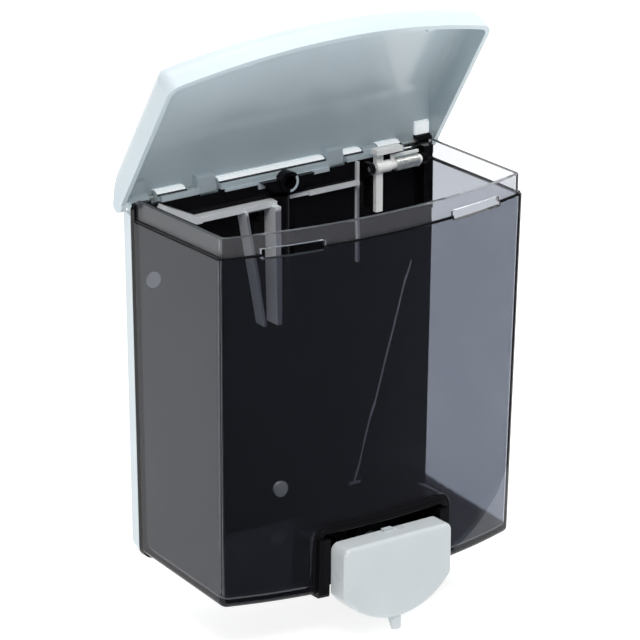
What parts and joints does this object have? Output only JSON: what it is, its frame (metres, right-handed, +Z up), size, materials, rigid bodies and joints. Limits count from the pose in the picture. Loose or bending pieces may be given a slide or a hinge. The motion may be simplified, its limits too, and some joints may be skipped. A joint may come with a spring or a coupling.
{
  "type": "wall mounted soap dispenser",
  "caption": "Wall mounted liquid soap dispenser: a smoke tank on a back plate, with a hinged filling lid, a lid latch and a push valve with a spout below.",
  "frame": {"origin": "on the wall face, midway between the two upper wall screws", "axes": "+X to the right seen from the front, +Y into the wall, +Z up"},
  "size_m": [0.151, 0.0837, 0.2336],
  "materials": {
    "grey_plastic": "light blue-grey moulded plastic, soft gloss",
    "black_plastic": "glossy black moulded plastic",
    "smoke_plastic": "clear smoke-tinted plastic, polished",
    "white_plastic": "off-white moulded plastic, satin",
    "steel": "bright spring and pin steel",
    "rubber": "soft black rubber"
  },
  "bodies": {
    "base": {"back_plate": "grey_plastic", "tank_back": "black_plastic", "hanger_frame": "grey_plastic", "tank_shell": "smoke_plastic", "hinge_pin": "steel", "body_screws": "steel", "screw_plug_left": "white_plastic", "screw_plug_right": "black_plastic", "screw_plug_lower": "white_plastic", "latch_pin": "steel", "latch_spring": "steel", "valve_housing": "black_plastic", "valve_gasket": "rubber", "valve_nut": "black_plastic", "stem_seal": "rubber", "seal_retainer": "black_plastic", "inlet_body": "black_plastic", "inlet_seat": "white_plastic", "inlet_strainer": "white_plastic", "return_spring": "steel"},
    "lid": {"lid": "grey_plastic"},
    "button": {"push_button": "grey_plastic", "plunger": "white_plastic", "piston_seal": "rubber", "stem_clip": "steel", "nozzle": "grey_plastic", "outlet_valve": "rubber"},
    "latch": {"latch_lever": "white_plastic"},
    "ball": {"inlet_ball": "steel"}
  },
  "joints": [
    {"name": "lid_hinge", "type": "hinge", "parent": "base", "child": "lid", "pos_m": [0, -0.0038, 0.0305], "axis": [-1, 0, 0], "range_deg": [-59, 0]},
    {"name": "button_push", "type": "slide", "parent": "base", "child": "button", "axis": [0, 1, 0], "range_m": [0, 0.008], "stiffness_N_per_m": 600, "springref_m": -0.004, "deforming": ["return_spring"]},
    {"name": "latch_pivot", "type": "hinge", "parent": "base", "child": "latch", "pos_m": [0, -0.0135, 0.027], "axis": [-1, 0, 0], "range_deg": [0, 8], "stiffness_Nm_per_rad": 0.02, "springref_deg": -17.19, "deforming": ["latch_spring"]},
    {"name": "ball_lift", "type": "slide", "parent": "base", "child": "ball", "axis": [0, 0, 1], "range_m": [0, 0.0015]}
  ]
}
